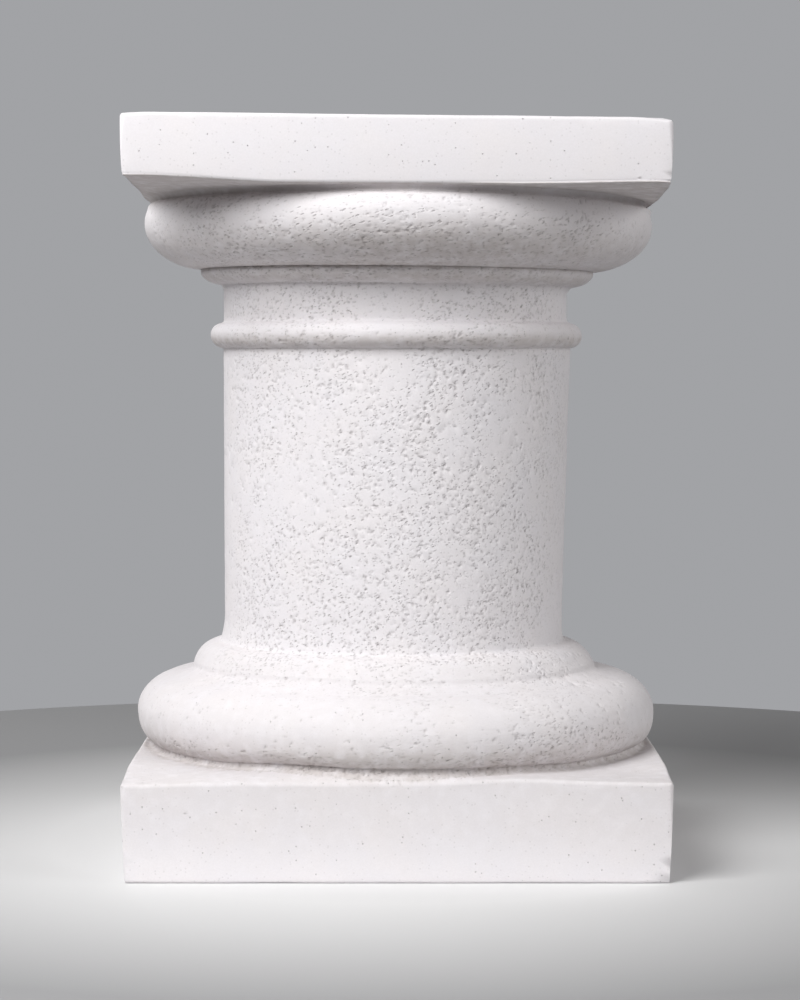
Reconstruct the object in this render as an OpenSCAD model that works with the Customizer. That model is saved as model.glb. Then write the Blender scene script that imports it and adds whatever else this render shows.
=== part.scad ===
// Short plain doric column on a square plinth, cast in one piece.
// Every part below is a moulding of that one casting, stacked from the ground up.
// Millimetres, +Z up. The origin is the centre of the plinth's underside.

/* [Plinth] */
// Side of the square plinth, where it is widest
plinth_side = 250; // [208:1:340]
// Height of the plinth
plinth_h = 46; // [24:1:90]
// How far each plinth face draws in towards the ground
plinth_draft = 1.6; // [0:0.1:4]

/* [Base] */
// How far the big torus swells past the faces of the plinth
torus_over = 2; // [-2:0.5:12]
// Height from the plinth to the top of the big torus
torus_h = 37.4; // [26:0.2:70]
// Height above the plinth at which the big torus swells most
torus_waist = 19; // [8:1:23]
// How far the foot of the big torus is set in from its swell
torus_undercut = 7.5; // [2:0.5:20]
// Width of the ledge left on top of the big torus, round the small torus
torus_ledge = 4; // [1:0.5:10]
// How far the small torus swells past the foot of the shaft
collar_out = 14.6; // [6:0.2:20]
// Height of the small torus
collar_h = 15.2; // [8:0.2:26]
// Height and width of the cove that fills the seat of the big torus on the plinth
seat_cove = 3.2; // [1:0.1:5]

/* [Shaft] */
// Length of the shaft, from the small torus to the ring
shaft_h = 143.4; // [60:0.2:320]
// Radius of the shaft where it is slimmest, just above its foot
shaft_r = 83; // [60:0.1:84]
// How far the foot of the shaft flares out
shaft_flare = 1.4; // [0:0.1:4]
// Height over which the foot of the shaft flares out
shaft_flare_h = 13; // [5:1:30]
// How much wider in radius the shaft is under the ring than where it is slimmest
shaft_swell = 2; // [-4:0.1:4]

/* [Necking] */
// How far the ring stands out from the top of the shaft
ring_out = 6; // [2:0.5:12]
// Height of the ring
ring_h = 12.2; // [6:0.2:20]
// How far the neck is set in from the top of the shaft
neck_in = 1; // [0:0.5:6]
// Height of the neck
neck_h = 17.8; // [8:0.2:40]

/* [Capital] */
// How far the small ovolo under the echinus stands out from the neck
ovolo_out = 12.5; // [4:0.5:14]
// Height of the small ovolo
ovolo_h = 7.5; // [4:0.1:14]
// Width of the step in from the lip of the ovolo to the foot of the echinus
echinus_step = 3.5; // [1:0.5:6]
// How far the echinus swells past the faces of the abacus
echinus_over = 0.5; // [-2:0.5:12]
// Height of the echinus
echinus_h = 36; // [28:1:60]
// Height above its foot at which the echinus swells most
echinus_waist = 22; // [12:1:24]
// How far the top of the echinus is set in from its swell
echinus_undercut = 6.5; // [2:0.5:7]
// Height and width of the cove between the echinus and the abacus
cap_cove = 3; // [1:0.1:4]
// Side of the square abacus, where it is widest
abacus_side = 247; // [204:1:340]
// Height of the abacus
abacus_h = 31.8; // [16:0.2:60]
// How far each abacus face draws in towards its underside
abacus_draft = 1; // [0:0.1:4]

/* [Wear] */
// Radius of the worn upright corners of the plinth and the abacus
corner_r = 3; // [1:0.1:8]
// Radius of the worn level edges of the plinth and the abacus
arris_r = 1.6; // [0.5:0.1:4]

/* [Hidden] */

// Heights above the ground at which each moulding starts
collar_z = plinth_h + torus_h;
shaft_z = collar_z + collar_h;
ring_z = shaft_z + shaft_h;
neck_z = ring_z + ring_h;
ovolo_z = neck_z + neck_h;
echinus_z = ovolo_z + ovolo_h;
abacus_z = echinus_z + echinus_h;

// Radii of the turned mouldings, from the ground up
torus_r = plinth_side / 2 + torus_over;
torus_seat_r = torus_r - torus_undercut;
shaft_foot_r = shaft_r + shaft_flare;
collar_r = shaft_foot_r + collar_out;
torus_top_r = collar_r + torus_ledge;
shaft_top_r = shaft_r + shaft_swell;
ring_r = shaft_top_r + ring_out;
neck_r = shaft_top_r - neck_in;
ovolo_r = neck_r + ovolo_out;
echinus_foot_r = ovolo_r - echinus_step;
echinus_r = abacus_side / 2 + echinus_over;
echinus_seat_r = echinus_r - echinus_undercut;

// Each turned moulding sinks this far into the wider one below it, so that they fuse
bite = 1;
// Straight steps in a quarter turn of a moulding's profile
steps = 18;
// Sides of a full turn, above the twelve at which a round is taken as a polygon
turn_fn = 180;
stone = [0.89, 0.88, 0.87];

// Quarter of an ellipse in the profile plane, from angle a0 to angle a1
function quarter(cx, cy, rx, ry, a0, a1) =
    [for (i = [0 : steps]) let (a = a0 + (a1 - a0) * i / steps) [cx + rx * cos(a), cy + ry * sin(a)]];

// Swelling moulding from (r0, z0) out to radius r_max at height z_waist and in to (r1, z1)
function swell(r0, z0, r_max, z_waist, r1, z1) = concat(
    quarter(r0, z_waist, r_max - r0, z_waist - z0, -90, 0),
    quarter(r1, z_waist, r_max - r1, z1 - z_waist, 0, 90));

// Hollow moulding from the level point (r_out, z0) up to the upright point (r_in, z1), bowed inwards
function cove(r_out, z0, r_in, z1) = quarter(r_out, z1, r_in - r_out, z0 - z1, 90, 0);

// Radius of the shaft at height z above its foot: a short flare, then a slow swelling to the ring
function shaft_radius(z) = z < shaft_flare_h
    ? shaft_r + shaft_flare * pow(1 - z / shaft_flare_h, 2)
    : shaft_r + shaft_swell * (z - shaft_flare_h) / (shaft_h - shaft_flare_h);

// Solid of revolution with the given profile, sunk by bite into what it stands on
module turned(profile) {
    first = profile[0];
    last = profile[len(profile) - 1];
    core = [[0, last[1]], [0, first[1] - bite], [first[0] - bite, first[1] - bite]];
    rotate_extrude($fn = turn_fn) polygon(concat(core, profile));
}

// Face of a block seen square on: drawn in towards the ground, with worn edges
module block_face(side, height, draft) {
    low = side / 2 - draft - arris_r;
    high = side / 2 - arris_r;
    right = concat(
        quarter(low, arris_r, arris_r, arris_r, -90, 0),
        quarter(high, height - arris_r, arris_r, arris_r, 0, 90));
    left = [for (i = [len(right) - 1 : -1 : 0]) [-right[i][0], right[i][1]]];
    polygon(concat(right, left));
}

// Square with worn corners
module worn_square(side) {
    inset = side - 2 * corner_r;
    square([side, inset], center = true);
    square([inset, side], center = true);
    for (x = [-1, 1], y = [-1, 1])
        translate([x * inset / 2, y * inset / 2]) circle(r = corner_r, $fn = 48);
}

// Square block: its plan, cut to the same worn face from the front and from the side
module worn_block(side, height, draft) {
    reach = side + 2;
    intersection() {
        linear_extrude(height) worn_square(side);
        rotate([90, 0, 0]) linear_extrude(reach, center = true) block_face(side, height, draft);
        rotate([90, 0, 90]) linear_extrude(reach, center = true) block_face(side, height, draft);
    }
}

module plinth() {
    color(stone) worn_block(plinth_side, plinth_h, plinth_draft);
}

module big_torus() {
    seat_z = plinth_h + seat_cove;
    cove_r = min(torus_seat_r + seat_cove, plinth_side / 2 - arris_r);
    profile = concat(
        cove(cove_r, plinth_h, torus_seat_r, seat_z),
        swell(torus_seat_r, seat_z, torus_r, plinth_h + torus_waist, torus_top_r, collar_z));
    color(stone) turned(profile);
}

module small_torus() {
    profile = quarter(shaft_foot_r, collar_z, collar_out, collar_h, 0, 90);
    color(stone) turned(profile);
}

module shaft() {
    // The heights lie closer together in the curved foot
    heights = [for (i = [0 : 2 * steps]) shaft_h * pow(i / (2 * steps), 2)];
    profile = [for (z = heights) [shaft_radius(z), shaft_z + z]];
    color(stone) turned(profile);
}

module ring() {
    mid_z = ring_z + ring_h / 2;
    color(stone) turned(swell(shaft_top_r, ring_z, ring_r, mid_z, shaft_top_r, neck_z));
}

module neck() {
    color(stone) turned([[neck_r, neck_z], [neck_r, ovolo_z]]);
}

module ovolo() {
    color(stone) turned(quarter(neck_r, echinus_z, ovolo_out, ovolo_h, -90, 0));
}

module echinus() {
    seat_z = abacus_z - cap_cove;
    cove_r = min(echinus_seat_r + cap_cove, abacus_side / 2 - abacus_draft - arris_r);
    rim = cove(cove_r, abacus_z, echinus_seat_r, seat_z);
    profile = concat(
        swell(echinus_foot_r, echinus_z, echinus_r, echinus_z + echinus_waist, echinus_seat_r, seat_z),
        [for (i = [steps : -1 : 0]) rim[i]],
        [[cove_r, abacus_z + bite]]);
    color(stone) turned(profile);
}

module abacus() {
    color(stone) translate([0, 0, abacus_z]) worn_block(abacus_side, abacus_h, abacus_draft);
}

module column() {
    plinth();
    big_torus();
    small_torus();
    shaft();
    ring();
    neck();
    ovolo();
    echinus();
    abacus();
}

column();
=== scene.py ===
"""Looks of a short plain doric column, cast in one piece of white stone.

The casting is one closed mesh. Its outline is traced from the CAD column, ring by ring. It is then
warped as the real casting is, pitted and worn, and thinned out to a light mesh.
Lengths are in millimetres until the mesh is made, and in metres in the scene.
"""

import math

import bpy
import numpy as np
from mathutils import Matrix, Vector
from mathutils.bvhtree import BVHTree


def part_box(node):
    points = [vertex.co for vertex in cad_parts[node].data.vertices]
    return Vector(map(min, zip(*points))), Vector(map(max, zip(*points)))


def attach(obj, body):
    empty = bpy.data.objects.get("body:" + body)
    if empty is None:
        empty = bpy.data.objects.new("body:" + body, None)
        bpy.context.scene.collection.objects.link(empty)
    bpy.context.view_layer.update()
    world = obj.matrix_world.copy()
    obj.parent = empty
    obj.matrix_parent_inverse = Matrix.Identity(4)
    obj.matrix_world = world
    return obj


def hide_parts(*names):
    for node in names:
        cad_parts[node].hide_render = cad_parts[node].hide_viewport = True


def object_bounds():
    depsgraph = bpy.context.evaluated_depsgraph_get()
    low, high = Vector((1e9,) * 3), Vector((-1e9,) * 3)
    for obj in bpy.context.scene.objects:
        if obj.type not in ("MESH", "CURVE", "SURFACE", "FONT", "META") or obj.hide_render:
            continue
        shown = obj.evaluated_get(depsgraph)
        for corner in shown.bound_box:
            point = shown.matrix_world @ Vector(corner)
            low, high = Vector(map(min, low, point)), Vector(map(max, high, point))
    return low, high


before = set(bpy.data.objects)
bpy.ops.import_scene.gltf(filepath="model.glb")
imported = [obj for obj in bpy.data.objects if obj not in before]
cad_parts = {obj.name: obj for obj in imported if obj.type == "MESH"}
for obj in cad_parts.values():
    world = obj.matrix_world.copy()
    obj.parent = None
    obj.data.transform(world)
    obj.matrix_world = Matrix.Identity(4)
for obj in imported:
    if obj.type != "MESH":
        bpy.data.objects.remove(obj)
cad_low, cad_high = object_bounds()

NODE = "column"
MM = 0.001
SEED = 11

# Turn angles are in degrees round the axis: 0 in front, 90 on the right, -90 on the left

# Sampling of the casting before it is thinned out
# Distance between the heights at which the CAD outline is traced
TRACE_STEP = 0.1
# Distance between the rings of points up the outline, and steps across each flat end
RING_STEP = 0.62
FLAT_RINGS = 34
# Points in each ring, and how much closer together they lie at the blocks' corners
COLUMNS = 900
CORNER_CROWD = 5.0
# Triangles left once the mesh is thinned out
TRIANGLES = 192000
# Room left between the mesh and the CAD column's box
SKIN = 0.05

# Warp of the casting
# Reach of the creases where the big torus meets the plinth and the echinus meets the abacus
PLINTH_CREASE = 122.0
ABACUS_CREASE = 120.0
# A point this close to a level lies on its flat ledge
LEDGE_BAND = 0.3
# Lift of the plinth's top edge on its left and right sides, and of the wave on the right of its front
PLINTH_SIDE_LIFT = 3.0
PLINTH_FRONT_LIFT = 1.8
# Lift of the crease under the small torus
COLLAR_LIFT = 3.2
# Swell of the abacus's faces, which only the points that reach beyond BELLY_REACH have
BELLY = 0.6
BELLY_REACH = 100.0
# How much lower the abacus's top lies at its right end
TOP_TIP = 2.9
# Lifts every 22.5 degrees from the front to the right: the seat of the big torus, the lower edge of the
# abacus, and the crease under the abacus
SEAT_LIFT = (2.8, 2.3, 0.8, 1.2, 1.8, 1.2, 0.8, 1.5, 2.0, 1.5, 0.8, 1.2, 1.8, 1.2, 1.6, 3.8)
RIM_LIFT = (
    -0.4, -0.1, 1.0, -1.8, -3.0, -2.2, 0.0, -1.0, -1.0, -0.5, 1.5, -0.5, -1.5, 1.2, 2.9, -0.3)
CREASE_LIFT = (
    -0.2, -0.4, -1.0, -2.2, -3.5, -3.0, -2.0, -1.5, -1.0, -1.5, -2.0, -2.0, -2.0, -1.5, -1.0, -0.5)
# Sag of the abacus's lower edge on the right
RIGHT_SAG = 2.2
# Wear of the abacus's front top corners
CORNER_WEAR = 0.7
# Width of the stone that joins the echinus to the abacus on the sides, and what the right has besides
WEB = 3.0
RIGHT_WEB = 1.6
# How far the capital lies low on the right and high on the left
CAPITAL_TIP = 0.8
# Width and height of the cove between the neck and the ovolo, and how far below it the neck is measured
NECK_COVE = 1.5
NECK_COVE_H = 4.0
NECK_BELOW = 5.0

# Softening of the creases: half width of its band, passes, and its share away from the creases
CREASE_BAND = 2.0
CREASE_PASSES = 8
TURNED_SOFTNESS = 0.12
BLOCK_SOFTNESS = 0.03

# Relief
PITS = 6500
FRINGE_PITS = 600
# Depth at which a pit is painted fully dark, with dirt and painted shade, and the longest half spans of a pit
# in rings and columns
DARK_DEPTH = 0.45
PIT_RINGS = 12
PIT_COLUMNS = 16
# Share of the pits that the back goes without, and the turn angles at which it sets in and is full
BACK_PLAIN = 0.7
BACK_FROM, BACK_FULL = 95.0, 130.0
# Height above the plinth at which the big torus turns smoother
TORUS_PLAIN = 14.0
# Marks of its own: turn, level, height above it, half length, half width, depth, slant
MARKS = (
    (41.4, "abacus_foot", 1.9, 1.5, 0.55, 0.9, 12.0),
    (43.2, "abacus_foot", -5.2, 1.3, 0.55, 1.2, 85.0),
    (45.0, "abacus_foot", -4.8, 1.2, 0.50, 1.2, 80.0),
    (-37.5, "plinth_top", -14.0, 0.6, 0.55, 0.5, 0.0),
    (-15.9, "shaft_foot", 14.0, 0.7, 0.6, 0.6, 0.0))
# Knots of upright pits on the right: turn, level, height above it, half width in degrees, half height, pits
KNOTS = ((51.5, "shaft_top", -19.0, 4.0, 11.0, 60), (42.8, "abacus_foot", -19.5, 1.6, 5.0, 30))

# Stone and studio colours
WARM_WHITE = (0.820, 0.790, 0.805, 1.0)
COOL_WHITE = (0.812, 0.788, 0.812, 1.0)
GRAIN_GREY = (0.60, 0.58, 0.58, 1.0)
# Grey-brown dirt for the flecks, and for the pits and dashes, where it is partly dirt and partly painted
# shade
DIRT_AND_PIT_SHADE = (0.30, 0.275, 0.27, 1.0)
# Brown for the stains, which also carry painted shade in the creases and under the mouldings
STAIN_AND_SHADE = (0.44, 0.39, 0.36, 1.0)
# Near black for the pinholes, partly dirt and partly painted shade in them
PINHOLE = (0.20, 0.18, 0.18, 1.0)
# Radius by which turn angles become lengths on the casting's skin
SKIN_R = 100.0
# Roughness of the stone, and how much more its roughest patches have
STONE_ROUGHNESS = 0.82
ROUGH_PATCHES = 0.12
# Depth of the bump, in millimetres
BUMP_DEPTH = 0.4
# How strongly each layer of colour shows
GRAIN_SHARE = 0.14
FLECK_SHARE = 0.16
# The dashes, pits and pinholes are darkened with dirt and painted shade, and the stain layer also paints
# shade
DASH_SHARE = 0.44
PIT_SHARE = 0.4
STAIN_AND_SHADE_SHARE = 0.52
PINHOLE_SHARE = 0.38
# The floor is FLOOR_NEAR out to FLOOR_NEAR_R, and FLOOR_FAR from FLOOR_FAR_R to its edge, in metres
FLOOR_NEAR = (0.74, 0.74, 0.74, 1.0)
FLOOR_FAR = (0.32, 0.32, 0.325, 1.0)
FLOOR_NEAR_R = 0.17
FLOOR_FAR_R = 0.36
FLOOR_R = 0.55
FLOOR_SIDES = 160
ROOM_LIGHT = (0.122, 0.118, 0.116, 1.0)
BACKDROP = (0.36, 0.365, 0.38, 1.0)
# Power of the lamps, in watts
KEY_POWER = 21.5
FILL_POWER = 14.6
BACK_POWER = 7.0

# Camera: lens and sensor in millimetres, place in metres, tip in degrees
LENS = 100.0
SENSOR = 36.0
CAMERA_AT = (0.00235, -1.368, 0.240)
CAMERA_TIP = 3.05


# ---------------------------------------------------------------- small tools

def smooth(x, low, high):
    """0 below low, 1 above high, with a soft step between them."""
    t = np.clip((x - low) / (high - low), 0.0, 1.0)
    return t * t * (3.0 - 2.0 * t)


def hump(x, middle, width):
    """Bell of height 1 round middle."""
    return np.exp(-((x - middle) / width) ** 2)


def around(turn, values):
    """Value at each turn angle, eased between values spaced evenly from the front to the right."""
    step = 360.0 / len(values)
    place = (turn % 360.0) / step
    first = np.floor(place).astype(int) % len(values)
    after = (first + 1) % len(values)
    table = np.asarray(values, float)
    t = smooth(place - np.floor(place), 0.0, 1.0)
    return table[first] * (1.0 - t) + table[after] * t


def ring_near(z, height):
    """Index of the ring nearest to a height."""
    return int(np.argmin(np.abs(z[:, 0] - height)))


def noise(points, size, seed):
    """Smooth random field from -1 to 1, whose lumps are about size millimetres wide."""
    cells = 64
    lattice = np.random.default_rng(SEED * 1000 + seed).uniform(-1.0, 1.0, (cells, cells, cells))
    lattice = lattice.astype(np.float32)
    place = points / size + 1000.0
    base = np.floor(place).astype(np.int64)
    t = (place - base).astype(np.float32)
    t = t * t * (3.0 - 2.0 * t)
    total = np.zeros(points.shape[:-1], np.float32)
    for dx in (0, 1):
        for dy in (0, 1):
            for dz in (0, 1):
                index = (base + (dx, dy, dz)) % cells
                share = np.abs(1 - dx - t[..., 0]) * np.abs(1 - dy - t[..., 1]) * np.abs(1 - dz - t[..., 2])
                total += share * lattice[index[..., 0], index[..., 1], index[..., 2]]
    return total


# ---------------------------------------------------------------- outline of the CAD column

def trace_outline(node):
    """Heights, and the column's reach at each height to the middle of a face and to a corner."""
    tree = BVHTree.FromObject(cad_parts[node], bpy.context.evaluated_depsgraph_get())
    low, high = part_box(node)
    start = 2.0 * (high - low).length
    heights = np.arange(low.z / MM + TRACE_STEP / 2, high.z / MM, TRACE_STEP)
    reach = []
    for direction in (Vector((0, -1, 0)), Vector((1, -1, 0)).normalized()):
        row = []
        for z in heights:
            hit = tree.ray_cast(direction * start + Vector((0, 0, z * MM)), -direction)[0]
            row.append(hit.dot(direction) / MM)
        reach.append(row)
    return heights, np.array(reach[0]), np.array(reach[1])


def ledge(heights, reach, low, high):
    """Height of the widest ledge between two heights."""
    inside = (heights > low) & (heights < high)
    jump = np.abs(np.gradient(reach)) * inside
    return float(heights[np.argmax(jump)])


def upright(heights, reach, low, high):
    """Foot and top of the longest upright stretch between two heights."""
    steep = np.abs(np.gradient(reach, heights)) < 0.3
    inside = steep & (heights > low) & (heights < high)
    edges = np.flatnonzero(np.diff(np.concatenate(([0], inside.astype(int), [0]))))
    runs = edges.reshape(-1, 2)
    first, last = runs[np.argmax(runs[:, 1] - runs[:, 0])]
    return float(heights[first]), float(heights[last - 1])


def find_levels(heights, side, corner):
    """Heights at which the mouldings start and end, found on the traced outline."""
    ground, top = float(heights[0]), float(heights[-1])
    middle = (ground + top) / 2
    square = corner > side * 1.2
    plinth_top = float(heights[square & (heights < middle)].max())
    abacus_foot = float(heights[square & (heights > middle)].min())
    shaft_foot, shaft_top = upright(heights, side, plinth_top, abacus_foot)
    torus_top = ledge(heights, side, plinth_top + 10, shaft_foot - 5)
    neck_foot, neck_top = upright(heights, side, shaft_top + 5, abacus_foot - 25)
    ovolo_top = ledge(heights, side, neck_top, abacus_foot - 5)
    return {
        "ground": ground, "plinth_top": plinth_top, "torus_top": torus_top, "shaft_foot": shaft_foot,
        "shaft_top": shaft_top, "neck_foot": neck_foot, "neck_top": neck_top,
        "ovolo_top": ovolo_top, "abacus_foot": abacus_foot, "top": top}


# ---------------------------------------------------------------- grid of points on the casting

def ring_path(heights, side, corner):
    """Height, side reach and corner reach of each ring, evenly spaced up the outline, with both flat ends."""
    span_side = np.hypot(np.diff(heights), np.diff(side))
    span_corner = np.hypot(np.diff(heights), np.diff(corner))
    along = np.concatenate(([0.0], np.cumsum((span_side + span_corner) / 2)))
    places = np.linspace(0.0, along[-1], int(along[-1] / RING_STEP) + 1)
    wall = np.stack([np.interp(places, along, row) for row in (heights, side, corner)], axis=1)
    share = (np.arange(1, FLAT_RINGS) / FLAT_RINGS)[:, None]
    under = wall[0] * np.hstack([np.ones_like(share), share, share])
    over = wall[-1] * np.hstack([np.ones_like(share), share, share])
    return np.concatenate([under, wall, over[::-1]])


def column_turns():
    """Turn angle of each column of points: 0 in front and 90 on the right.
    They lie closer together in front and at the corners."""
    fine = np.linspace(-180.0, 180.0, 36001)
    behind = smooth(np.abs(fine), 95.0, 125.0)
    corners = sum(hump(fine, c, 0.9) for c in (-135, -45, 45, 135))
    density = 1.0 - 0.5 * behind + CORNER_CROWD * corners
    share = np.concatenate(([0.0], np.cumsum((density[1:] + density[:-1]) / 2)))
    wanted = np.arange(COLUMNS) / COLUMNS * share[-1]
    return np.interp(wanted, share, fine)


def reach_at(side, corner, turn):
    """Reach at each turn angle of a square with rounded corners, which lie `corner` from its middle."""
    round_r = (math.sqrt(2.0) * side - corner) / (math.sqrt(2.0) - 1.0)
    round_r = np.clip(round_r, 0.0, side)[:, None]
    side = side[:, None]
    off_face = np.radians(np.abs((turn + 45.0) % 90.0 - 45.0))[None, :]
    flat = side / np.cos(off_face)
    centre = math.sqrt(2.0) * (side - round_r)
    off_corner = np.pi / 4 - off_face
    rounded = centre * np.cos(off_corner) + np.sqrt(
        np.maximum(round_r ** 2 - (centre * np.sin(off_corner)) ** 2, 0.0))
    return np.where(side * np.tan(off_face) <= side - round_r, flat, rounded)


def place(reach, z, turn):
    """Points at a reach, a height and a turn angle round the axis."""
    angle = np.radians(turn)
    return np.stack([reach * np.sin(angle), -reach * np.cos(angle), z], axis=-1)


def face_normals(points):
    """Outward direction at each point of the grid."""
    across = np.roll(points, -1, axis=1) - np.roll(points, 1, axis=1)
    upward = np.gradient(points, axis=0)
    normal = np.cross(across, upward)
    return normal / np.maximum(np.linalg.norm(normal, axis=-1, keepdims=True), 1e-9)


# ---------------------------------------------------------------- warp of the real casting

def lean(z):
    """How far the casting's axis lies to the right of the true one at each height."""
    lv = levels
    torus_middle = (lv["plinth_top"] + lv["torus_top"]) / 2
    steps = (
        (lv["ground"], 1.0), (lv["plinth_top"], 1.0), (torus_middle, 0.2), (lv["torus_top"], -0.3),
        (lv["torus_top"] + 7, -1.0), (lv["shaft_foot"] - 1, -1.8), (lv["shaft_foot"] + 10, -1.0),
        (lv["shaft_top"], 0.9), (lv["neck_foot"] - 6, 0.5), (lv["neck_foot"] + 2, 0.1),
        (lv["neck_top"] - 4, 0.1), (lv["neck_top"] + 2, 0.7), (lv["ovolo_top"], 1.0),
        (lv["ovolo_top"] + 8, 1.4), (lv["ovolo_top"] + 15, 1.5), (lv["abacus_foot"] - 3, 1.4),
        (lv["abacus_foot"], 0.8), (lv["top"], 0.8))
    return np.interp(z, [s[0] for s in steps], [s[1] for s in steps])


def ledge_share(reach, z, level, crease, rim):
    """Which points lie on the flat ledge at a level, and how far out: 0 at the crease, 1 at the rim."""
    on_ledge = np.abs(z - level) < LEDGE_BAND
    share = np.clip((reach - crease) / np.maximum(rim - crease, 1.0), 0.0, 1.0)
    return on_ledge, share


def warp_plinth(reach, z, turn):
    """Lift of the plinth's top and of the torus's foot: up at the sides, waved along the front."""
    level = levels["plinth_top"]
    away = np.abs(turn)
    rim_lift = PLINTH_SIDE_LIFT * (smooth(away, 45.2, 57.0) - smooth(away, 123.0, 134.8))
    rim_lift += PLINTH_FRONT_LIFT * hump(turn, 24.0, 11.0) - 0.8 * hump(turn, -44.0, 5.0)
    crease_lift = around(turn, SEAT_LIFT)
    rim = reach[ring_near(z, level - 1.0)]
    on_ledge, share = ledge_share(reach, z, level, PLINTH_CREASE, rim)
    body = np.clip(z / level, 0.0, 1.0) ** 3
    fade = 1.0 - smooth(z, level, level + 15.0)
    below = rim_lift * body
    ledge_lift = crease_lift * (1.0 - share) + rim_lift * share
    above = crease_lift * fade
    return np.where(on_ledge, ledge_lift, np.where(z < level, below, above))


def warp_collar(reach, z, turn):
    """Lift of the crease under the small torus, which runs out into the ledge round it."""
    level = levels["torus_top"]
    crease = reach[ring_near(z, level + 1.0)]
    rim = reach[ring_near(z, level - LEDGE_BAND)]
    lift = COLLAR_LIFT * (1.0 - smooth(np.abs(turn), 72.0, 100.0)) + 0.8 * hump(turn, -24.0, 14.0)
    on_ledge, share = ledge_share(reach, z, level, crease, rim)
    above = (z > level) * (1.0 - smooth(z, level, level + 9.0))
    return lift * np.where(on_ledge, 1.0 - share, above)


def warp_abacus(reach, z, turn):
    """Lift of the abacus: a hollowed underside whose edges sag midway, and a top that tips to the right."""
    level, top = levels["abacus_foot"], levels["top"]
    rim_lift = around(turn, RIM_LIFT)
    rim_lift -= RIGHT_SAG * (smooth(turn, 43.5, 49.0) - smooth(turn, 131.0, 136.5))
    crease_lift = around(turn, CREASE_LIFT)
    rim = reach[ring_near(z, level + 2.0)]
    on_ledge, share = ledge_share(reach, z, level, ABACUS_CREASE, rim)
    ledge_lift = crease_lift * (1.0 - share) + rim_lift * share
    height = np.clip((z - level) / (top - level), 0.0, 1.0)
    x = reach * np.sin(np.radians(turn))
    top_lift = -TOP_TIP * (x + np.abs(x).max()) / (2 * np.abs(x).max())
    top_lift -= CORNER_WEAR * (hump(turn, -45.0, 1.6) + 1.6 * hump(turn, 45.0, 2.2)) * (reach > rim - 4.0)
    body = rim_lift * (1.0 - height) + top_lift * height
    below = crease_lift * smooth(z, level - 14.0, level)
    return np.where(on_ledge, ledge_lift, np.where(z > level, body, below))


def fill_neck(reach, z):
    """Reach after the corner between the neck and the ovolo is filled with a small cove."""
    corner = levels["neck_top"]
    neck = reach[ring_near(z, corner - NECK_BELOW)]
    cove = NECK_COVE * smooth(z, corner - NECK_COVE_H, corner + 0.5) ** 2
    near = (z > corner - NECK_COVE_H) & (z < corner + 1.0)
    return np.where(near, np.maximum(reach, neck + cove), reach)


def web_under_abacus(reach, z, turn):
    """Stone that widens the echinus where it joins the abacus: on the sides, and most on the right."""
    level = levels["abacus_foot"]
    rim = reach[ring_near(z, level + 2.0)]
    sides = np.where(turn < 0, smooth(-turn, 25.0, 70.0), smooth(turn, 6.0, 40.0))
    sides *= 1.0 - 0.5 * smooth(np.abs(turn), 120.0, 160.0)
    web = WEB * sides * hump(z, level - 1.5, 3.5) * (z < level + LEDGE_BAND)
    right = smooth(turn, 55.0, 80.0) * (1.0 - smooth(turn, 110.0, 140.0))
    web += RIGHT_WEB * right * hump(z, level - 4.8, 2.2)
    return np.where(reach < rim, np.minimum(web, rim - reach), 0.0)


def warp(reach, z, turn):
    """The casting's grid of points after everything that isn't true about it."""
    reach = fill_neck(reach, z)
    lift = np.where(z < (levels["shaft_foot"] + levels["shaft_top"]) / 2,
                    warp_plinth(reach, z, turn) + warp_collar(reach, z, turn),
                    warp_abacus(reach, z, turn))
    level, top = levels["abacus_foot"], levels["top"]
    height = np.clip((z - level) / (top - level), 0.0, 1.0)
    belly = BELLY * 4.0 * height * (1.0 - height) * (reach > BELLY_REACH)
    web = web_under_abacus(reach, z, turn)
    lift -= CAPITAL_TIP * smooth(z, levels["neck_foot"], levels["neck_top"]) * np.sin(
        np.radians(turn)) * (1.0 - height)
    points = place(reach + belly + web, z + lift, turn)
    points[..., 0] += lean(z)
    return points


def soften(points, z):
    """Rounds the creases between the mouldings, as casting and wear leave them."""
    radius = np.hypot(points[..., 0], points[..., 1])
    foot, top = levels["abacus_foot"], levels["plinth_top"]
    block = (z > foot + LEDGE_BAND) | (z < top - LEDGE_BAND)
    block |= (z > foot - LEDGE_BAND) & (radius > ABACUS_CREASE + 1.0)
    block |= (z < top + LEDGE_BAND) & (radius > PLINTH_CREASE + 1.0)
    creases = [levels[name] for name in ("torus_top", "shaft_foot", "neck_foot", "ovolo_top", "abacus_foot")]
    share = TURNED_SOFTNESS + sum(hump(z, crease, CREASE_BAND) for crease in creases)
    share += 0.5 * hump(z, top, CREASE_BAND) + 0.6 * hump(z, levels["neck_top"], CREASE_BAND)
    share = np.where(block, BLOCK_SOFTNESS, np.minimum(share, 1.0))[1:-1, :, None] * 0.5
    for _ in range(CREASE_PASSES):
        points[1:-1] += share * ((points[:-2] + points[2:]) / 2 - points[1:-1])
    return points


# ---------------------------------------------------------------- relief

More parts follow.
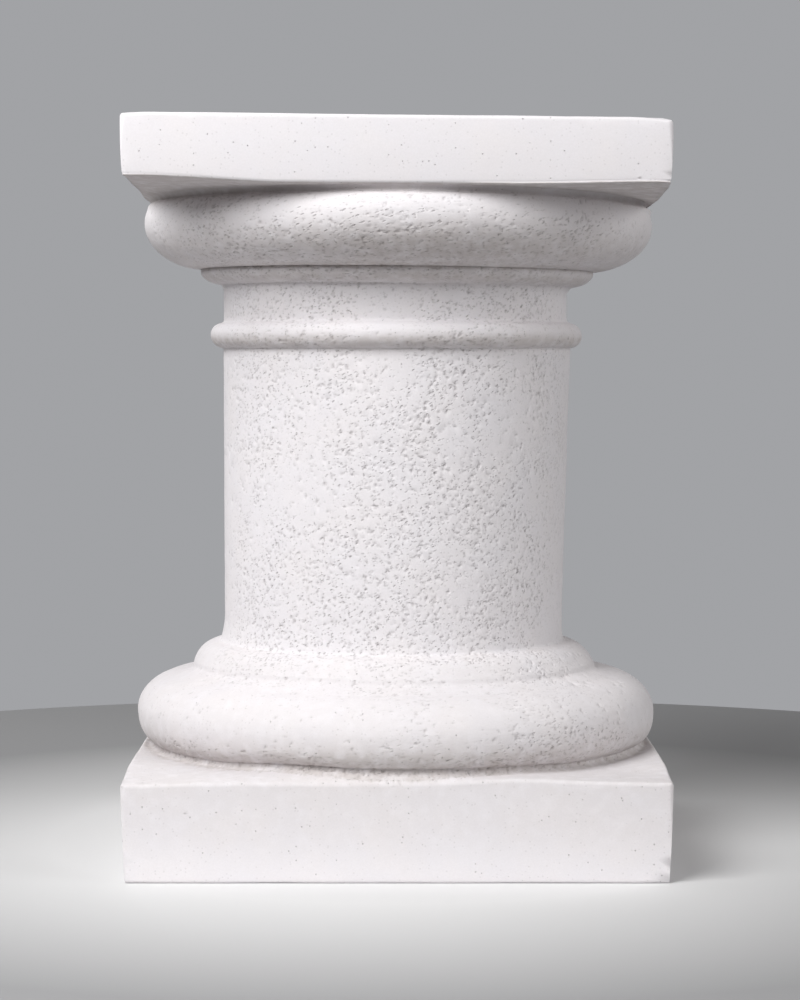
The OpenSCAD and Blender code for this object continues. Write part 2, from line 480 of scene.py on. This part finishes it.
def pitted_share(z):
    """How heavily the mouldings are pitted at each height: most at the foot of the echinus, and least on
    the big torus and high on the echinus."""
    lv = levels
    steps = (
        (lv["plinth_top"], 0.9), (lv["plinth_top"] + 9, 1.1), (lv["plinth_top"] + 16, 0.4),
        (lv["plinth_top"] + 20, 0.3), (lv["torus_top"] - 6, 0.3), (lv["torus_top"] + 1, 0.5),
        (lv["torus_top"] + 6, 0.4), (lv["shaft_foot"] - 4, 0.6), (lv["shaft_foot"] + 2, 0.95),
        (lv["shaft_top"] - 2, 0.95), (lv["shaft_top"] + 4, 1.2), (lv["shaft_top"] + 8, 0.5),
        (lv["neck_foot"] - 1, 0.6), (lv["neck_foot"] + 2, 1.2), (lv["ovolo_top"] + 4, 1.3),
        (lv["ovolo_top"] + 17, 1.1), (lv["ovolo_top"] + 27, 0.3), (lv["abacus_foot"] - 4, 0.4))
    return np.interp(z, [s[0] for s in steps], [s[1] for s in steps])


def pitting(points, z, turn):
    """How densely the surface is pitted, 0 being not at all: patchy on the mouldings, none on the blocks."""
    echinus = smooth(z, levels["neck_top"], levels["ovolo_top"])
    patches = 0.62 + 0.75 * noise(points, 34.0, 1) + 0.45 * noise(points, 13.0, 2)
    even = 0.68 + 0.3 * noise(points, 20.0, 7) + 0.35 * noise(points, 9.0, 8)
    patches = patches * (1.0 - echinus) + even * echinus
    left_fade = 1.0 - 0.75 * smooth(-turn, 50.0, 75.0)
    right_fade = 1.0 - 0.65 * smooth(turn, 42.0, 80.0)
    side_fade = np.where(turn < 0, left_fade, right_fade)
    waist = levels["plinth_top"] + TORUS_PLAIN
    torus = smooth(z, waist - 4.0, waist) * (z < levels["torus_top"])
    side_fade = side_fade * (1.0 - 0.55 * torus * (1.0 - smooth(turn, -45.0, 20.0)))
    # Dense bands round the right of the big torus, and on the left under the abacus
    band = 0.65 * hump(turn, 36.0, 24.0) * hump(z, waist + 2.0, 8.0)
    band += 0.9 * smooth(-turn, 15.0, 35.0) * hump(z, levels["abacus_foot"] - 6.0, 4.0)
    turned = (z > levels["plinth_top"] + 0.5) & (z < levels["abacus_foot"] - 3.0)
    return np.where(turned, np.clip(patches, 0.25, 1.0) * side_fade * (pitted_share(z) + band), 0.0)


def dent(height, pit, points, normals, ring, column, length, width, depth, slant):
    """Presses one oval pit into the height field at a point of the grid, and marks it in pit."""
    rings, columns = height.shape
    cell_up = np.linalg.norm(points[min(ring + 1, rings - 1), column] - points[ring, column])
    cell_across = np.linalg.norm(points[ring, (column + 1) % columns] - points[ring, column])
    up = min(int(length / max(cell_up, 0.2)) + 1, PIT_RINGS)
    across = min(int(length / max(cell_across, 0.15)) + 1, PIT_COLUMNS)
    rows = np.arange(max(ring - up, 0), min(ring + up + 1, rings))
    cols = np.arange(column - across, column + across + 1) % columns
    block = np.ix_(rows, cols)
    patch = points[block] - points[ring, column]
    normal = normals[ring, column]
    east = np.cross((0.0, 0.0, 1.0), normal)
    east /= max(np.linalg.norm(east), 1e-6)
    north = np.cross(normal, east)
    x, y = patch @ east, patch @ north
    along = (x * math.cos(slant) + y * math.sin(slant)) / length
    athwart = (y * math.cos(slant) - x * math.sin(slant)) / width
    bowl = np.clip(1.0 - along ** 2 - athwart ** 2, 0.0, 1.0)
    height[block] -= depth * bowl
    pit[block] = np.maximum(pit[block], np.minimum(1.0, depth / DARK_DEPTH) * bowl)


def cell_areas(points):
    """Area round each point of the grid."""
    across = np.linalg.norm(np.roll(points, -1, axis=1) - points, axis=-1)
    upward = np.linalg.norm(np.gradient(points, axis=0), axis=-1)
    return across * upward


def drawn_cells(rng, weight, count):
    """Ring and column of as many random points as count, more of them where weight is high."""
    weight = weight.ravel()
    for cell in rng.choice(weight.size, count, p=weight / weight.sum()):
        yield divmod(int(cell), COLUMNS)


def scatter_pits(rng, height, pit, points, normals, density, turn):
    """Presses all the cast pits, more of them where the pitting is dense."""
    density = density * (1.0 - BACK_PLAIN * smooth(np.abs(turn), BACK_FROM, BACK_FULL))
    for ring, column in drawn_cells(rng, density * cell_areas(points), PITS):
        length = rng.uniform(0.7, 1.3)
        width = length * rng.uniform(0.4, 0.6)
        depth = width * rng.uniform(0.6, 1.1)
        upright_share = float(smooth(turn[0, column], 35.0, 60.0))
        slant = math.radians(rng.normal(25.0 + 50.0 * upright_share, 28.0))
        dent(height, pit, points, normals, ring, column, length, width, depth, slant)


def scatter_fringe(rng, height, pit, points, normals, z, turn):
    """Presses a ragged fringe of pits where the big torus meets the plinth."""
    seat = hump(z, levels["plinth_top"] + 0.6, 1.6) * (1.0 - 0.8 * smooth(-turn, 60.0, 100.0))
    seat *= 1.0 - 0.95 * smooth(turn, 12.0, 34.0)
    near = np.hypot(points[..., 0], points[..., 1]) < PLINTH_CREASE + 3.0
    for ring, column in drawn_cells(rng, seat * near * cell_areas(points), FRINGE_PITS):
        length = rng.uniform(0.8, 1.6)
        width = length * rng.uniform(0.35, 0.6)
        slant = math.radians(rng.normal(80.0, 25.0))
        dent(height, pit, points, normals, ring, column, length, width, 0.5 * width, slant)


def press_marks(height, pit, points, normals, z, turn):
    """Presses the chips and holes that stand out, and the knots of upright pits on the right."""
    rng = np.random.default_rng(SEED + 1)

    def press(at, rise, length, width, depth, slant):
        """Presses one pit at a turn angle and a height."""
        ring = ring_near(z, rise)
        column = int(np.argmin(np.abs(turn[0] - at)))
        slant = math.radians(slant)
        dent(height, pit, points, normals, ring, column, length, width, depth, slant)

    for at, level, above, length, width, depth, slant in MARKS:
        press(at, levels[level] + above, length, width, depth, slant)
    for at, level, above, half_turn, half_height, count in KNOTS:
        for _ in range(count):
            length = rng.uniform(0.7, 1.3)
            rise = levels[level] + above + rng.normal(0.0, half_height)
            width, depth = 0.5 * length, 0.45 * length
            press(rng.normal(at, half_turn), rise, length, width, depth, rng.normal(80.0, 25.0))


def relief(points, normals, density, z, turn):
    """Height of the surface above the warped casting in millimetres, and how far inside a pit it lies."""
    height = 0.16 * noise(points, 26.0, 3) + 0.05 * noise(points, 7.0, 4)
    pit = np.zeros_like(height)
    height += density * (0.04 * noise(points, 2.6, 5) + 0.03 * noise(points, 1.4, 6))
    rng = np.random.default_rng(SEED)
    scatter_pits(rng, height, pit, points, normals, density, turn)
    scatter_fringe(rng, height, pit, points, normals, z, turn)
    press_marks(height, pit, points, normals, z, turn)
    return height, pit


def stain_and_painted_shade(points, z, turn):
    """Where the stone is painted darker: a stain with painted shade in the seat of the big torus, painted
    shade under its bulge, in the groove, under the abacus and on the undersides of the mouldings above, and
    the base a little darker overall.
    """
    # A stain in the seat of the big torus, with painted shade in that crease
    seat = hump(z, levels["plinth_top"] + 2.5, 4.0) * (z > levels["plinth_top"] - 0.2)
    seat = seat * (np.hypot(points[..., 0], points[..., 1]) < PLINTH_CREASE + 2.5)
    # The base a little darker from low on the plinth up to the shaft's foot
    base = 0.25 * (z < levels["shaft_foot"]) * smooth(z, levels["ground"] + 5.0, levels["ground"] + 28.0)
    # Painted shade under the bulge of the big torus, strongest in front
    base += (0.5 + 0.5 * hump(turn, 0.0, 32.0)) * hump(z, levels["plinth_top"] + 8.0, 7.0)
    # Painted shade in the groove at the top of the ovolo
    painted_groove_shade = 0.5 * hump(z, levels["ovolo_top"], 1.2)
    foot = levels["abacus_foot"]
    left = smooth(-turn, 10.0, 40.0)
    # Painted shade under the abacus: on the top of the echinus, more on the left, and all over the abacus's
    # underside
    shade = (0.5 + 0.5 * left) * hump(z, foot - 2.0, 3.0) * (z < foot - LEDGE_BAND)
    shade += np.abs(z - foot) < LEDGE_BAND
    # Painted shade on the undersides: low on the echinus, more in front, under the ring at the shaft's top,
    # and on the ovolo's underside
    under = (0.5 + 0.6 * hump(turn, 8.0, 34.0)) * hump(z, levels["ovolo_top"] + 8.0, 11.0)
    under += hump(z, levels["shaft_top"] + 3.0, 3.5)
    under += 0.7 * hump(z, levels["neck_top"] + 2.5, 2.5)
    return np.clip(seat + base + painted_groove_shade + shade + under, 0.0, 1.0)


# ---------------------------------------------------------------- the casting

def grid_mesh(name, points, marks):
    """Closed mesh over the grid, which is round in its columns, with a fan at each flat end.
    marks names fields on the grid that the mesh carries to its material."""
    rings, columns = points.shape[:2]
    ends = np.stack([points[0].mean(0), points[-1].mean(0)])
    vertices = np.concatenate([points.reshape(-1, 3), ends]) * MM
    index = np.arange(rings * columns).reshape(rings, columns)
    right = np.roll(index, -1, axis=1)
    quads = np.stack([index[:-1], right[:-1], right[1:], index[1:]], axis=-1).reshape(-1, 4)
    bottom = np.stack([right[0], index[0], np.full(columns, rings * columns)], axis=-1)
    top = np.stack([index[-1], right[-1], np.full(columns, rings * columns + 1)], axis=-1)
    corners = np.concatenate([quads.ravel(), bottom.ravel(), top.ravel()])
    sizes = np.concatenate([np.full(len(quads), 4), np.full(2 * columns, 3)])
    mesh = bpy.data.meshes.new(name)
    mesh.vertices.add(len(vertices))
    mesh.vertices.foreach_set("co", vertices.astype(np.float32).ravel())
    mesh.loops.add(len(corners))
    mesh.loops.foreach_set("vertex_index", corners.astype(np.int32))
    mesh.polygons.add(len(sizes))
    mesh.polygons.foreach_set("loop_start", (np.cumsum(sizes) - sizes).astype(np.int32))
    mesh.update(calc_edges=True)
    for mark, field in marks.items():
        attribute = mesh.attributes.new(mark, "FLOAT", "POINT")
        values = np.concatenate([field.ravel(), field[0, :1], field[-1, :1]])
        attribute.data.foreach_set("value", values.astype(np.float32))
    return mesh


def keep_inside(points):
    """The points, held just inside the CAD column's box."""
    low = np.array(cad_low) / MM + (SKIN, SKIN, 0.0)
    high = np.array(cad_high) / MM - SKIN
    return np.clip(points, low, high)


def thin_out(obj, triangles):
    """Collapses the mesh's edges where it is plainest until it has this many triangles."""
    have = sum(len(p.vertices) - 2 for p in obj.data.polygons)
    modifier = obj.modifiers.new("thin", "DECIMATE")
    modifier.ratio = min(1.0, triangles / have)
    modifier.use_collapse_triangulate = True
    evaluated = obj.evaluated_get(bpy.context.evaluated_depsgraph_get())
    mesh = bpy.data.meshes.new_from_object(evaluated)
    obj.modifiers.clear()
    dense = obj.data
    obj.data = mesh
    bpy.data.meshes.remove(dense)


def climb(path):
    """Distance up the outline to each ring, in metres, which the stone's material lays its marks along."""
    steps = np.hypot(np.diff(path[:, 0]), np.diff(path[:, 1]))
    return np.concatenate(([0.0], np.cumsum(steps))) * MM


def make_casting():
    """The whole column as one closed mesh."""
    path = ring_path(heights, side_reach, corner_reach)
    turns = column_turns()
    reach = reach_at(path[:, 1], path[:, 2], turns)
    turn = np.broadcast_to(turns, reach.shape)
    z = np.broadcast_to(path[:, :1], reach.shape)
    points = soften(warp(reach, z, turn), z)
    normals = face_normals(points)
    density = pitting(points, z, turn)
    height, pit = relief(points, normals, density, z, turn)
    # The pit mark darkens the pits with dirt and painted shade; the third mark darkens with stains and
    # painted shade
    marks = {
        "pit": pit, "pitting": density, "stain_and_painted_shade": stain_and_painted_shade(points, z, turn),
        "climb": np.broadcast_to(climb(path)[:, None], z.shape)}
    points = keep_inside(points + normals * height[..., None])
    obj = bpy.data.objects.new("column_cast", grid_mesh("column_cast", points, marks))
    bpy.context.scene.collection.objects.link(obj)
    thin_out(obj, TRIANGLES)
    seen = np.empty(len(obj.data.vertices) * 3, np.float32)
    obj.data.vertices.foreach_get("co", seen)
    obj.data.vertices.foreach_set("co", (keep_inside(seen.reshape(-1, 3) / MM) * MM).ravel())
    obj.data.polygons.foreach_set("use_smooth", [True] * len(obj.data.polygons))
    return obj


# ---------------------------------------------------------------- stone

class Nodes:
    """Short way to lay out a material's nodes."""

    def __init__(self, material):
        material.use_nodes = True
        self.tree = material.node_tree
        self.shader = self.tree.nodes["Principled BSDF"]

    def add(self, kind, settings=None, **inputs):
        """New node with the given settings, whose inputs are values or outputs of other nodes."""
        node = self.tree.nodes.new("ShaderNode" + kind)
        for name, value in (settings or {}).items():
            setattr(node, name, value)
        for name, value in inputs.items():
            self.feed(node.inputs[name.replace("_", " ")], value)
        return node

    def feed(self, socket, value):
        """Links an output to a socket, or sets the socket to a plain value."""
        if isinstance(value, bpy.types.NodeSocket):
            self.tree.links.new(value, socket)
        else:
            socket.default_value = value

    def math(self, operation, *operands):
        """Result of an operation on values or outputs of other nodes."""
        node = self.add("Math", {"operation": operation})
        for socket, operand in zip(node.inputs, operands):
            self.feed(socket, operand)
        return node.outputs[0]

    def mark(self, name):
        """A field that the mesh carries."""
        return self.add("Attribute", {"attribute_name": name}).outputs["Fac"]

    def cloud(self, where, size, detail=2.0):
        """Noise from 0 to 1, whose lumps are about size millimetres wide."""
        return self.add("TexNoise", Vector=where, Scale=1.0 / (size * MM), Detail=detail).outputs["Fac"]

    def ramp(self, value, low, high):
        """0 where value is at low, 1 where it is at high."""
        node = self.add("MapRange", Value=value, From_Min=low, From_Max=high)
        return node.outputs["Result"]

    def mix(self, share, first, second):
        """Colour between the first and the second: the first where share is 0, the second where it is 1."""
        node = self.add("Mix", {"data_type": "RGBA"})
        self.feed(node.inputs[0], share)
        self.feed(node.inputs[6], first)
        self.feed(node.inputs[7], second)
        return node.outputs[2]

    def skin(self, where):
        """Place on the casting's skin in metres: round it, and up along its outline."""
        xyz = self.add("SeparateXYZ", Vector=where).outputs
        turn = self.math("ARCTAN2", xyz["X"], self.math("MULTIPLY", xyz["Y"], -1.0))
        along = self.math("MULTIPLY", turn, SKIN_R * MM)
        return self.add("CombineXYZ", X=along, Y=self.mark("climb")).outputs[0]

    def chosen(self, cell, share):
        """1 in a share of the cells of a Voronoi texture."""
        pick = self.add("SeparateColor", Color=cell.outputs["Color"]).outputs[0]
        return self.math("LESS_THAN", pick, share)

    def dashes(self, skin, slant, size, spacing, stretch, share):
        """Up to 1 inside short dashes, in a share of the cells, that rise to the right by slant degrees."""
        laid = self.add(
            "Mapping", {"vector_type": "TEXTURE"}, Vector=skin, Rotation=(0.0, 0.0, math.radians(slant)),
            Scale=(stretch, 1.0, 1.0)).outputs[0]
        cell = self.add("TexVoronoi", {"voronoi_dimensions": "2D"}, Vector=laid, Scale=1.0 / (spacing * MM))
        near = self.ramp(cell.outputs["Distance"], size / spacing, 0.5 * size / spacing)
        weight = self.add("SeparateColor", Color=cell.outputs["Color"]).outputs[1]
        near = self.math("MULTIPLY", near, self.ramp(weight, -0.4, 1.0))
        return self.math("MULTIPLY", self.chosen(cell, share), near)

    def specks(self, where, size, spacing, share):
        """1 inside small round specks, which fill a share of cells about spacing millimetres wide."""
        cell = self.add("TexVoronoi", Vector=where, Scale=1.0 / (spacing * MM))
        near = self.ramp(cell.outputs["Distance"], size / spacing, 0.6 * size / spacing)
        return self.math("MULTIPLY", self.chosen(cell, share), near)


def stone_holes(n, where):
    """Slanted dashes where the casting is pitted, and pinholes all over."""
    skin = n.skin(where)
    large = n.dashes(skin, slant=30.0, size=0.44, spacing=1.6, stretch=2.2, share=0.28)
    small = n.dashes(skin, slant=15.0, size=0.30, spacing=1.0, stretch=1.8, share=0.18)
    dashes = n.math("MAXIMUM", large, small)
    dashes = n.math("MULTIPLY", dashes, n.ramp(n.mark("pitting"), 0.1, 0.6))
    return dashes, n.specks(where, size=0.38, spacing=3.0, share=0.25)


def stone_colour(n, where, dashes, pinholes):
    """White with a faint mottle, grain and flecks; darker with dirt and painted shade in pits, dashes and
    pinholes, and with stains and painted shade in the creases and under the mouldings.
    """
    mottle = n.ramp(n.cloud(where, 22.0, 4.0), 0.35, 0.65)
    colour = n.mix(mottle, WARM_WHITE, COOL_WHITE)
    grain = n.ramp(n.cloud(where, 0.8, 3.0), 0.3, 0.7)
    patchy = n.ramp(n.cloud(where, 6.0, 3.0), 0.12, 0.55)
    # Stains and painted shade from the casting's mark, made patchy
    stain_and_shade = n.math("MULTIPLY", n.mark("stain_and_painted_shade"), patchy)
    layers = (
        (grain, GRAIN_SHARE, GRAIN_GREY),
        (n.specks(where, size=0.5, spacing=1.9, share=0.35), FLECK_SHARE, DIRT_AND_PIT_SHADE),
        # Dirt and painted shade in the slanted dashes, which are holes only in the bump
        (dashes, DASH_SHARE, DIRT_AND_PIT_SHADE),
        # Dirt and painted shade inside the cast pits
        (n.mark("pit"), PIT_SHARE, DIRT_AND_PIT_SHADE),
        # Stains, and painted shade in the creases and under the mouldings
        (stain_and_shade, STAIN_AND_SHADE_SHARE, STAIN_AND_SHADE),
        # Dirt and painted shade in the pinholes
        (pinholes, PINHOLE_SHARE, PINHOLE))
    for layer, share, paint in layers:
        colour = n.mix(n.math("MULTIPLY", layer, share), colour, paint)
    return colour


def stone_bump(n, where, dashes, pinholes):
    """Finest relief: the dashes and pinholes sink in, and pitted stone is a little uneven."""
    holes = n.math("SUBTRACT", n.math("MULTIPLY", dashes, -1.0), pinholes)
    fine = n.math("MULTIPLY", n.cloud(where, 1.1, 4.0), n.math("MULTIPLY", n.mark("pitting"), 0.35))
    bump = n.add("Bump", Height=n.math("ADD", holes, fine), Strength=0.9, Distance=BUMP_DEPTH * MM)
    return bump.outputs["Normal"]


def cast_stone():
    """Matt white cast stone: faint mottle and grain, slanted pits and pinholes, and dirt and painted shade in
    the pits, creases and hollows.
    """
    material = bpy.data.materials.new("cast_stone")
    n = Nodes(material)
    where = n.add("TexCoord").outputs["Object"]
    dashes, pinholes = stone_holes(n, where)
    n.feed(n.shader.inputs["Base Color"], stone_colour(n, where, dashes, pinholes))
    rough = n.ramp(n.cloud(where, 3.0, 3.0), 0.2, 0.8)
    roughness = n.math("MULTIPLY_ADD", rough, ROUGH_PATCHES, STONE_ROUGHNESS)
    n.feed(n.shader.inputs["Roughness"], roughness)
    n.shader.inputs["Specular IOR Level"].default_value = 0.25
    n.feed(n.shader.inputs["Normal"], stone_bump(n, where, dashes, pinholes))
    return material


# ---------------------------------------------------------------- studio

def lamp(name, size, power, azimuth, elevation, distance, target):
    """Soft square lamp that looks at a target from an azimuth, 0 in front and 90 on the right."""
    data = bpy.data.lights.new(name, "AREA")
    data.size = size
    data.energy = power
    obj = bpy.data.objects.new(name, data)
    turn, rise = math.radians(azimuth), math.radians(elevation)
    back = Vector((math.sin(turn) * math.cos(rise), -math.cos(turn) * math.cos(rise), math.sin(rise)))
    obj.location = target + back * distance
    obj.rotation_euler = (-back).to_track_quat("-Z", "Y").to_euler()
    bpy.context.scene.collection.objects.link(obj)


def floor_paint():
    """Plain pale paint, palest round the column."""
    paint = bpy.data.materials.new("floor_paint")
    n = Nodes(paint)
    away = n.add("VectorMath", {"operation": "LENGTH"})
    n.feed(away.inputs[0], n.add("TexCoord").outputs["Object"])
    far = n.ramp(away.outputs["Value"], FLOOR_NEAR_R, FLOOR_FAR_R)
    n.feed(n.shader.inputs["Base Color"], n.mix(far, FLOOR_NEAR, FLOOR_FAR))
    n.shader.inputs["Roughness"].default_value = 0.8
    return paint


def table():
    """Round pale table top under the column."""
    angles = [2 * math.pi * i / FLOOR_SIDES for i in range(FLOOR_SIDES)]
    ring = [(FLOOR_R * math.cos(angle), FLOOR_R * math.sin(angle), 0.0) for angle in angles]
    mesh = bpy.data.meshes.new("floor")
    mesh.from_pydata(ring, [], [tuple(range(FLOOR_SIDES))])
    floor = bpy.data.objects.new("floor", mesh)
    bpy.context.scene.collection.objects.link(floor)
    mesh.materials.append(floor_paint())


def room():
    """Faint even light from all round, with a plain backdrop behind the column."""
    world = bpy.data.worlds.new("room")
    world.use_nodes = True
    bpy.context.scene.world = world
    tree = world.node_tree
    light = tree.nodes["Background"]
    light.inputs["Color"].default_value = ROOM_LIGHT
    backdrop = tree.nodes.new("ShaderNodeBackground")
    backdrop.inputs["Color"].default_value = BACKDROP
    path = tree.nodes.new("ShaderNodeLightPath")
    seen = path.outputs["Is Camera Ray"]
    for name in ("Is Glossy Ray", "Is Transmission Ray"):
        either = tree.nodes.new("ShaderNodeMath")
        either.operation = "MAXIMUM"
        tree.links.new(seen, either.inputs[0])
        tree.links.new(path.outputs[name], either.inputs[1])
        seen = either.outputs[0]
    shown = tree.nodes.new("ShaderNodeMixShader")
    tree.links.new(seen, shown.inputs["Fac"])
    tree.links.new(light.outputs[0], shown.inputs[1])
    tree.links.new(backdrop.outputs[0], shown.inputs[2])
    tree.links.new(shown.outputs[0], tree.nodes["World Output"].inputs["Surface"])


def studio(middle):
    """Table, backdrop, and three soft lamps: high on the left, low on the right, and behind on the left."""
    table()
    room()
    capital = Vector((0.0, 0.0, (levels["ovolo_top"] + levels["abacus_foot"]) / 2 * MM))
    lamp("key", size=0.9, power=KEY_POWER, azimuth=-38.0, elevation=34.0, distance=1.3, target=capital)
    lamp("fill", size=1.2, power=FILL_POWER, azimuth=62.0, elevation=20.0, distance=2.0, target=middle)
    lamp("back", size=1.2, power=BACK_POWER, azimuth=-135.0, elevation=25.0, distance=2.0, target=middle)


def camera():
    """Camera in front of the column and a little above its middle, tipped down."""
    data = bpy.data.cameras.new("camera")
    data.lens = LENS
    data.sensor_width = SENSOR
    obj = bpy.data.objects.new("camera", data)
    obj.location = CAMERA_AT
    obj.rotation_euler = (math.radians(90.0 - CAMERA_TIP), 0.0, 0.0)
    bpy.context.scene.collection.objects.link(obj)
    bpy.context.scene.camera = obj


# ---------------------------------------------------------------- scene

heights, side_reach, corner_reach = trace_outline(NODE)
levels = find_levels(heights, side_reach, corner_reach)
casting = make_casting()
casting.data.materials.append(cast_stone())
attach(casting, "root")
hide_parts(NODE)
camera()
studio((cad_low + cad_high) / 2)
bpy.context.scene.view_settings.view_transform = "Standard"
